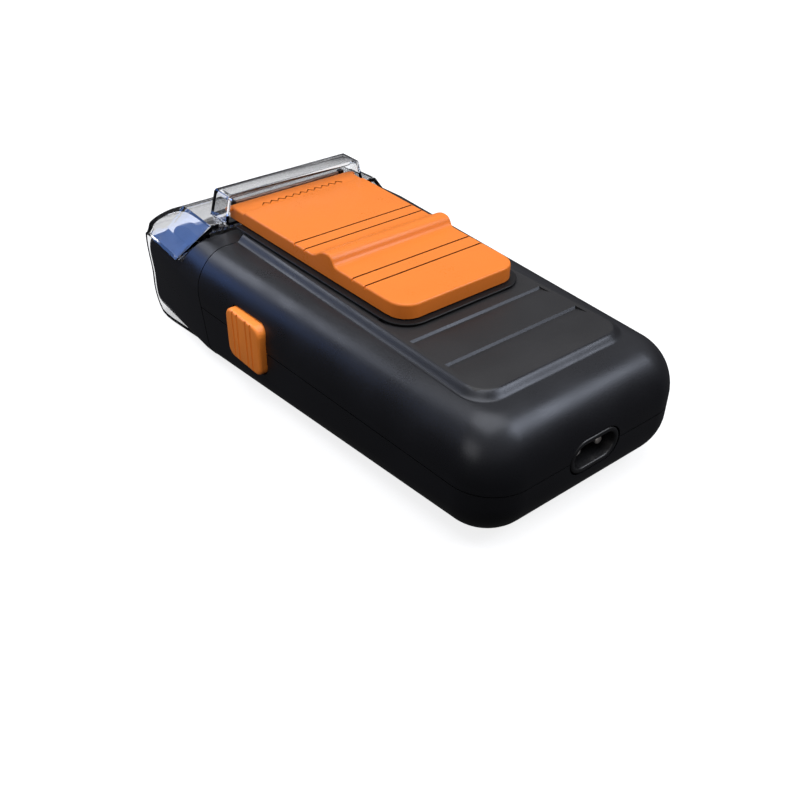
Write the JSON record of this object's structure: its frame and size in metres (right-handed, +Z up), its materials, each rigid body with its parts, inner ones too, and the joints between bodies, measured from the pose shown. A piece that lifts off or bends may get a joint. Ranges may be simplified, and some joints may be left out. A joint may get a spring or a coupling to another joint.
{
  "type": "foil shaver",
  "caption": "Compact black foil shaver with a clear head cap, an orange pull-out trimmer slide and ribbed orange release buttons on its sides.",
  "frame": {"origin": "middle of the back face the closed shaver rests on, halfway between the charging end and the nose of the cap", "axes": "+Z up out of the face with the orange slide, +Y from the charging end towards the shaving head, +X across the width"},
  "size_m": [0.0718, 0.1344, 0.0389],
  "materials": {
    "body": "satin soft-touch",
    "orange": "satin",
    "grey": "moulded",
    "white": "moulded",
    "steel": "ground",
    "foil": "etched",
    "bronze": "satin",
    "brass": "plain",
    "cell": "shrink wrap",
    "board": "solder mask",
    "clear": "clear moulding"
  },
  "bodies": {
    "housing": {"upper_shell": "body", "lower_shell": "body", "chassis": "grey", "circuit_board": "board", "battery_cell_left": "cell", "battery_cell_right": "cell", "motor_can": "steel", "front_bulkhead": "grey", "inlet_socket": "grey", "inlet_pin_left": "brass", "inlet_pin_right": "brass", "shell_screw_1": "steel", "shell_screw_2": "steel", "shell_screw_3": "steel", "shell_screw_4": "steel", "button_spring_left": "steel", "button_spring_right": "steel"},
    "trimmer_carriage": {"trimmer_slide": "orange", "slide_runner": "body", "slide_retainer": "grey", "trimmer_comb": "steel", "trimmer_clamp": "bronze"},
    "moving_trimmer": {"trimmer_blade": "steel"},
    "shaving_head": {"head_frame": "body", "foil_frame": "body", "shaving_foil": "foil"},
    "cap": {"clear_cap": "clear"},
    "cutter": {"cutter_blades": "steel", "cutter_carrier": "white", "drive_yoke": "white"},
    "rotor": {"motor_shaft": "steel"},
    "button_left": {"release_button_left": "orange"},
    "button_right": {"release_button_right": "orange"}
  },
  "joints": [
    {"name": "trimmer_travel", "type": "slide", "parent": "housing", "child": "trimmer_carriage", "axis": [0, 1, 0], "range_m": [-0.018, 0]},
    {"name": "trimmer_swing", "type": "slide", "parent": "trimmer_carriage", "child": "moving_trimmer", "axis": [1, 0, 0], "range_m": [-0.001, 0.001]},
    {"name": "head_release", "type": "slide", "parent": "housing", "child": "shaving_head", "axis": [0, 1, 0], "range_m": [0, 0.03]},
    {"name": "cap_off", "type": "slide", "parent": "shaving_head", "child": "cap", "axis": [0, 1, 0], "range_m": [0, 0.035]},
    {"name": "cutter_swing", "type": "slide", "parent": "housing", "child": "cutter", "axis": [1, 0, 0], "range_m": [-0.0012, 0.0012]},
    {"name": "motor_turn", "type": "hinge", "parent": "housing", "child": "rotor", "pos_m": [0, 0.02, 0.015], "axis": [0, 1, 0], "continuous": true},
    {"name": "button_left_press", "type": "slide", "parent": "housing", "child": "button_left", "axis": [1, 0, 0], "range_m": [0, 0.0016], "stiffness_N_per_m": 900, "springref_m": -0.0005, "deforming": ["button_spring_left"]},
    {"name": "button_right_press", "type": "slide", "parent": "housing", "child": "button_right", "axis": [-1, 0, 0], "range_m": [0, 0.0016], "stiffness_N_per_m": 900, "springref_m": -0.0005, "deforming": ["button_spring_right"]}
  ]
}
